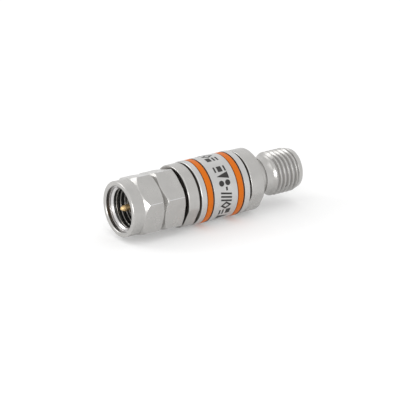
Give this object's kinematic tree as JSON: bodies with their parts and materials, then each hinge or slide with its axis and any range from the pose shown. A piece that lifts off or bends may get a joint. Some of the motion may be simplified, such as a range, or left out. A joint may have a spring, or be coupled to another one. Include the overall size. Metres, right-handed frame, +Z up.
{
  "type": "coaxial adapter",
  "caption": "Straight male to female coaxial adapter with a free-turning hexagon coupling nut, wrench flats, a marking sleeve with orange bands and a threaded female end.",
  "frame": {"origin": "on the line's axis, at mid length between the front of the coupling nut and the female end", "axes": "+X along the line towards the female end, +Z up with the adapter lying on its side"},
  "size_m": [0.0296, 0.0092, 0.0092],
  "materials": {
    "nut_steel": "passivated stainless steel, satin turned and milled",
    "body_steel": "passivated stainless steel, satin turned",
    "line_steel": "fine turned stainless steel",
    "sleeve_steel": "satin turned stainless steel",
    "spring_bronze": "spring bronze, drawn",
    "gold_plate": "gold plate on beryllium copper",
    "orange_band": "satin moulded plastic",
    "bead_dielectric": "natural engineering plastic"
  },
  "bodies": {
    "adapter_body": {"male_body": "body_steel", "male_outer_conductor": "line_steel", "male_pin": "gold_plate", "male_bead": "bead_dielectric", "male_bead_ring": "line_steel", "line_tube": "line_steel", "centre_conductor": "gold_plate", "female_bead": "bead_dielectric", "female_bead_ring": "line_steel", "female_contact": "gold_plate", "female_body": "body_steel", "marking_sleeve": "sleeve_steel", "colour_band_front": "orange_band", "colour_band_rear": "orange_band"},
    "retaining_ring": {"nut_retaining_ring": "spring_bronze"},
    "nut": {"coupling_nut": "nut_steel"}
  },
  "joints": [
    {"name": "ring_float", "type": "slide", "parent": "adapter_body", "child": "retaining_ring", "axis": [1, 0, 0], "range_m": [-0.0001, 0.0001]},
    {"name": "nut_spin", "type": "hinge", "parent": "retaining_ring", "child": "nut", "pos_m": [-0.00827, 0, 0], "axis": [1, 0, 0], "continuous": true}
  ]
}
